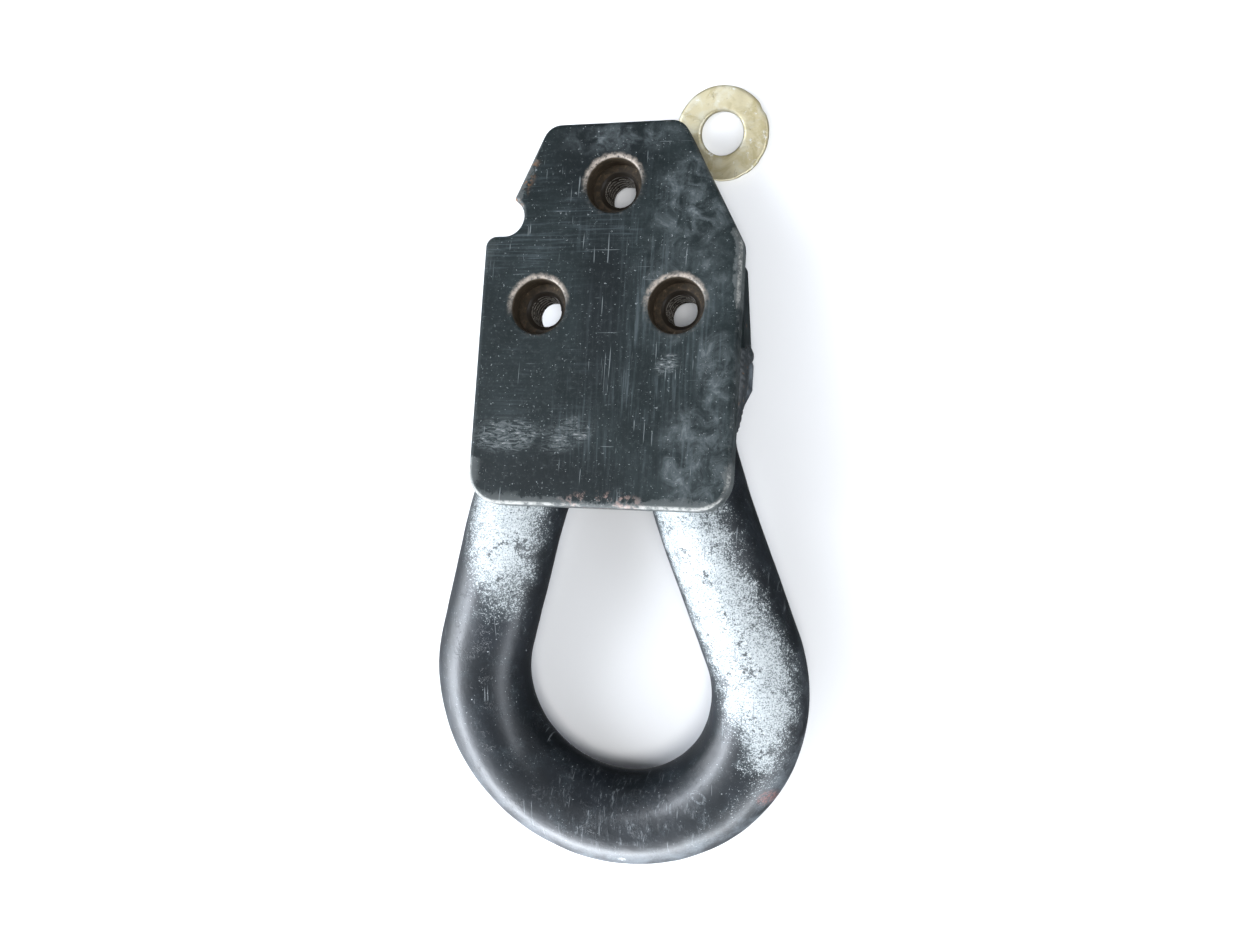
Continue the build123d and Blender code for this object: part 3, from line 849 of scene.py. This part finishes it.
def bar_frost(m, grain, lumps):
    """The rubbed, frosted tops of the legs, their edges fading in a stipple."""
    stipple = m.noise(2.3, 2, 0.6, shift=(3, 1, 6))
    edge = m.uneven(m.attribute("frost"), lumps, 1.1)
    edge = m.uneven(edge, m.noise(0.45, 3, 0.6, shift=(2, 9, 9)), 0.5)
    rubbed = m.uneven(edge, grain, 1.5)
    dots = m.uneven(rubbed, stipple, 2.6)
    veil = m.step(edge, 0.10, 0.95)
    m.over(m.times(veil, 0.8), (0.062, 0.075, 0.080), 0.50)
    m.over(m.times(m.step(rubbed, 0.42, 0.85), 0.75), (0.25, 0.275, 0.28), 0.54, 0.1)
    m.over(m.times(m.step(dots, 0.56, 0.92), 0.85), (0.47, 0.505, 0.51), 0.55, 0.1)
    m.over(m.times(m.step(dots, 1.02, 1.48), 0.9), (0.56, 0.585, 0.585), 0.55, 0.0)
    pepper = m.step(m.noise(1.7, 3, 0.7, shift=(1, 1, 4)), 0.55, 0.66)
    m.over(m.times(pepper, veil, 0.85), (0.040, 0.050, 0.053), 0.5)
    flakes = m.step(m.math("ADD", m.times(m.noise(0.8, 4, 0.75, shift=(8, 8, 2)), 0.6),
                           m.times(m.noise(0.14, 2, 0.5, shift=(3, 3, 3)), 0.5)), 0.635, 0.67)
    m.over(m.times(flakes, veil, 0.85), (0.026, 0.031, 0.034), 0.4)
    m.lift(m.times(veil, stipple), 0.05)
    m.lift(flakes, -0.05)
    return veil


def bar_scratches(m, lumps):
    """Scratches round the bar and along it, and the marks where it has stood on the floor."""
    gate = m.step(m.noise(0.09, 2, 0.5, shift=(2, 6, 1)), 0.53, 0.62)
    lines = m.most(*(m.step(m.noise(1.0, 1, 0.5, stretch=stretch, shift=shift, turn=turn), 0.71, 0.745)
                     for turn, stretch, shift in BAR_SCRATCHES))
    m.over(m.times(lines, gate, 0.55), (0.20, 0.22, 0.23), 0.45, 0.2)
    m.lift(m.times(lines, gate), -0.04)
    marks = m.noise(1.0, 4, 0.75, stretch=(0.9, 0.18, 0.18), shift=(0, 2, 0), bend=0.8)
    low = m.times(m.patches(FLOOR_MARKED), m.step(lumps, 0.40, 0.56))
    m.over(m.times(m.step(marks, 0.55, 0.66), low, 0.8), (0.15, 0.165, 0.175), 0.5, 0.1)
    m.over(m.times(m.step(marks, 0.44, 0.36), low, 0.8), (0.006, 0.008, 0.009), 0.4)
    m.lift(m.times(low, marks), 0.12)


def bar_chips(m, grain):
    """Pale specks, a red mark on the right, a pale nick in front and a small scratched ring."""
    speck = m.noise(1.25, 2, 0.5, shift=(7, 7, 1))
    m.over(m.step(speck, 0.755, 0.775), (0.42, 0.45, 0.46), 0.5)
    red = m.times(m.patches(RED_MARK), m.step(m.noise(1.1, 5, 0.75), 0.46, 0.56))
    m.over(m.times(red, 0.8), (0.27, 0.125, 0.11), 0.55)
    nick = m.times(m.step(m.uneven(m.patch(NICK_AT, (2.4, 1.2)), grain, 2.4), 0.45, 0.75),
                   m.step(m.patch(NICK_AT, (3.2, 2.0)), 0.0, 0.3),
                   m.step(m.attribute("around"), -0.1, 0.1), 0.7)
    m.over(nick, (0.42, 0.43, 0.43), 0.55)
    inside = m.mapping(m.local, at=(*RING_AT, 0), turn=(0, 0, RING_TURN), size=(*RING_R, ENDLESS),
                       kind="TEXTURE")
    oval = m.vector("LENGTH", inside, out=1)
    ring = m.times(m.step(oval, 0.6, 0.95), m.step(oval, 1.35, 1.05), m.step(grain, 0.44, 0.56))
    m.over(m.times(ring, 0.6), (0.17, 0.19, 0.20), 0.45)


def bar_material():
    m = Surface("bar_paint_worn", (0.004, 0.006, 0.008), 0.40)
    m.over(m.step(m.noise(0.05, 4, 0.6), 0.4, 0.7), (0.007, 0.010, 0.014), 0.46)
    grain = m.noise(1.35, 4, 0.75)
    lumps = m.noise(0.13, 5, 0.62, shift=(5, 2, 8))
    bar_dust(m, grain, lumps)
    veil = bar_frost(m, grain, lumps)
    bar_scratches(m, lumps)
    bar_chips(m, grain)
    m.lift(m.noise(0.22, 3, 0.5), 0.14)
    m.lift(grain, 0.02)
    return m.finish(coat=m.blend(veil, 0.35, 0.0), coat_rough=0.24)


def weld_material():
    m = Surface("weld_paint_worn", (0.020, 0.024, 0.026), 0.38)
    lumps = m.noise(0.35, 5, 0.65)
    m.over(m.step(lumps, 0.45, 0.65), (0.045, 0.050, 0.052), 0.5)
    m.over(m.step(lumps, 0.62, 0.72), (0.13, 0.135, 0.13), 0.55, 0.2)
    m.over(m.step(m.noise(0.5, 4, 0.6, shift=(4, 0, 4)), 0.62, 0.72), (0.10, 0.055, 0.03), 0.7)
    m.lift(m.noise(1.2, 4, 0.6), 0.06)
    return m.finish(coat=0.2, coat_rough=0.25)


def nut_material():
    m = Surface("nut_steel", PAINT, 0.40)
    lumps = m.noise(0.12, 6, 0.68)
    m.over(m.step(lumps, 0.45, 0.65), PAINT_PALE, 0.48)
    m.over(m.step(lumps, 0.63, 0.70), (0.12, 0.07, 0.04), 0.65, 0.1)
    up = m.split(m.normal)[2]
    ragged = m.noise(0.4, 6, 0.7)
    m.over(m.times(m.step(up, -0.985, -0.86), m.step(up, -0.05, -0.35), m.step(ragged, 0.52, 0.62)),
           STEEL, 0.4, 0.8)
    ring = m.about_holes(lambda far: m.step(m.uneven(far, ragged, 3.0), HOLE_R + 1.6, HOLE_R + 0.2))
    walls = m.about_holes(lambda far: m.step(far, THREAD_R + 1.3, THREAD_R + 0.9))
    crests = m.about_holes(lambda far: m.step(far, THREAD_R - 0.22, THREAD_R - 0.34))
    m.over(ring, DARK_RUST, 0.6, 0.2)
    stain = m.noise(0.55, 5, 0.7, shift=(3, 3, 0))
    m.over(m.times(ring, m.step(stain, 0.42, 0.62)), RUST, 0.62, 0.25)
    m.over(m.times(ring, m.step(stain, 0.60, 0.72)), (0.20, 0.15, 0.10), 0.5, 0.4)
    # dark rust, darkened further as painted shade inside the tapped bores
    m.over(walls, (0.022, 0.017, 0.012), 0.42, 0.3)
    m.over(m.times(crests, m.step(stain, 0.40, 0.55)), (0.58, 0.54, 0.47), 0.25, 0.95)
    m.lift(m.noise(0.8, 4, 0.6), 0.05)
    return m.finish()


def zinc_material():
    m = Surface("zinc_worn", (0.66, 0.585, 0.38), 0.36, 0.7)
    cloud = m.noise(0.16, 6, 0.68, shift=(6, 2, 0), bend=0.8)
    m.over(m.step(cloud, 0.44, 0.62), (0.68, 0.64, 0.49), 0.42, 0.5)
    stain = m.noise(0.11, 5, 0.62, bend=1.0)
    m.over(m.times(m.step(stain, 0.46, 0.66), 0.7), (0.40, 0.33, 0.16), 0.5, 0.5)
    brown = m.noise(0.35, 6, 0.7, shift=(4, 4, 4), bend=0.5)
    m.over(m.times(m.step(brown, 0.58, 0.72), 0.6), (0.20, 0.15, 0.07), 0.6, 0.4)
    pale = m.step(m.noise(0.3, 5, 0.7, shift=(9, 1, 0)), 0.60, 0.70)
    m.over(pale, (0.80, 0.80, 0.76), 0.5, 0.4)
    m.over(m.step(m.noise(1.1, 4, 0.7, shift=(1, 9, 0)), 0.66, 0.72), (0.10, 0.06, 0.03), 0.7, 0.1)
    m.lift(m.noise(0.9, 5, 0.65), 0.05)
    return m.finish()


def dress():
    def cover(obj, mat):
        if not obj.data.materials:
            obj.data.materials.append(mat)
        for place in obj.material_slots:
            place.material = mat

    cover(nodes["mounting_plate"], plate_material())
    cover(build_bar(), bar_material())
    cover(build_nut_plate(), nut_material())
    cover(build_washer(), zinc_material())
    build_beads()
    weld = weld_material()
    for obj in list(bpy.data.objects):
        if obj.name.startswith("bead_"):
            cover(obj, weld)


# ---- camera, light and floor, in metres ----------------------------------------------------

CAMERA_AT = Vector((0.1157, -0.0152, 0.3725))
CAMERA_UP = Vector((-0.0267, 0.9939, -0.1068))
AIM_FROM_EYE = Vector((0.0035, 0.0675, -0.002))
LENS = 36.5
FLOOR_SIZE = 8.0
FLOOR_GAP = 0.05 * MM


def add(name, data):
    obj = bpy.data.objects.new(name, data)
    bpy.context.scene.collection.objects.link(obj)
    return obj


def look_at(obj, at, target, up):
    forward = (target - at).normalized()
    right = forward.cross(up).normalized()
    axes = Matrix((right, right.cross(forward), -forward)).transposed().to_4x4()
    obj.matrix_world = Matrix.Translation(at) @ axes


def add_camera():
    data = bpy.data.cameras.new("camera")
    data.sensor_width = 36.0
    data.lens = LENS
    data.clip_start = 0.01
    obj = add("camera", data)
    look_at(obj, CAMERA_AT, Vector(mount("loop_eye")["pos_m"]) + AIM_FROM_EYE, CAMERA_UP)
    bpy.context.scene.camera = obj


def softbox(name, at, size, power, colour=(1.0, 1.0, 1.0), target=(0.0, -0.07, 0.0), seen=True):
    data = bpy.data.lights.new(name, "AREA")
    data.shape = "RECTANGLE"
    data.size, data.size_y = size
    data.energy = power
    data.color = colour
    obj = add(name, data)
    obj.visible_glossy = seen
    look_at(obj, Vector(at), Vector(target), Vector((0.0, 0.3, 0.9)))


def add_floor():
    mesh = bpy.data.meshes.new("floor")
    half = FLOOR_SIZE / 2
    corners = [(-half, -half), (half, -half), (half, half), (-half, half)]
    mesh.from_pydata([(x, y, FLOOR_Z - FLOOR_GAP) for x, y in corners], [], [(0, 1, 2, 3)])
    obj = add("floor", mesh)
    mat = bpy.data.materials.new("pale_floor")
    mat.use_nodes = True
    shader = mat.node_tree.nodes["Principled BSDF"]
    shader.inputs["Base Color"].default_value = (0.86, 0.86, 0.86, 1.0)
    shader.inputs["Roughness"].default_value = 0.9
    mesh.materials.append(mat)
    obj.visible_glossy = False


# The surroundings. On the near side they are a bright band, a ring about an axis: brightness by the
# part of the way from the axis's foot (0) to its head (1), as (1 + cosine) / 2. The band is dimmer to
# the right. Beyond the plate's top they are dark: brightness by height, from below (0) to above (1).
WINDOW_AXIS = (0.0, -0.494, 0.870)
NEAR_SKY = [(0.0, 0.12), (0.40, 0.40), (0.56, 1.6), (0.66, 4.0), (0.74, 10.0), (0.788, 20.0),
            (0.82, 10.0), (0.86, 1.6), (0.92, 0.9), (1.0, 0.7)]
FAR_SKY = [(0.0, 0.02), (0.50, 0.05), (0.62, 0.30), (0.80, 0.30), (1.0, 0.20)]
SKY_TINT = (0.92, 0.98, 1.07)
DIMMER_RIGHT = ((-0.5, 0.2), (1.0, 0.3))    # from one x of the direction to another, and the factors there
FAR_FROM_Y = (0.12, 0.32)


def add_world():
    world = bpy.data.worlds.new("studio")
    bpy.context.scene.world = world
    world.use_nodes = True
    tree = world.node_tree
    background = tree.nodes["Background"]

    def new(kind, source, **settings):
        node = tree.nodes.new(kind)
        for key, value in settings.items():
            setattr(node, key, value)
        tree.links.new(source, node.inputs[0])
        return node

    def ramp(stops, place):
        node = new("ShaderNodeValToRGB", place)
        elements = node.color_ramp.elements
        elements[0].position, elements[1].position = stops[0][0], stops[-1][0]
        for at, _ in stops[1:-1]:
            elements.new(at)
        for element, (_, value) in zip(elements, stops):
            element.color = (*(value * tint for tint in SKY_TINT), 1.0)
        return node.outputs[0]

    def spread(value, reach, factors=(0.0, 1.0), kind="LINEAR"):
        node = new("ShaderNodeMapRange", value, interpolation_type=kind)
        node.inputs[1].default_value, node.inputs[2].default_value = reach
        node.inputs[3].default_value, node.inputs[4].default_value = factors
        return node.outputs[0]

    direction = tree.nodes.new("ShaderNodeTexCoord").outputs["Generated"]
    x, y, z = new("ShaderNodeSeparateXYZ", direction).outputs
    across = new("ShaderNodeVectorMath", direction, operation="DOT_PRODUCT")
    across.inputs[1].default_value = WINDOW_AXIS
    band = ramp(NEAR_SKY, spread(across.outputs["Value"], (-1.0, 1.0)))
    window = new("ShaderNodeVectorMath", band, operation="SCALE")
    tree.links.new(spread(x, *DIMMER_RIGHT), window.inputs["Scale"])
    mix = new("ShaderNodeMix", spread(y, FAR_FROM_Y, kind="SMOOTHSTEP"), data_type="RGBA")
    tree.links.new(window.outputs[0], mix.inputs[6])
    tree.links.new(ramp(FAR_SKY, spread(z, (-1.0, 1.0))), mix.inputs[7])
    tree.links.new(mix.outputs[2], background.inputs["Color"])
    background.inputs["Strength"].default_value = 1.0


dress()
add_camera()
add_floor()
add_world()
softbox("left", (-1.0, -0.35, 0.20), (0.9, 0.25), 2.0, (0.90, 0.96, 1.0))
softbox("near", (0.0, -1.1, 0.14), (1.3, 0.25), 6.0, (0.93, 0.97, 1.0))
softbox("overhead", (0.33, -0.09, 1.1), (0.36, 0.36), 7.0, target=(0.0, -0.03, 0.0), seen=False)
bpy.context.scene.view_settings.view_transform = "Standard"
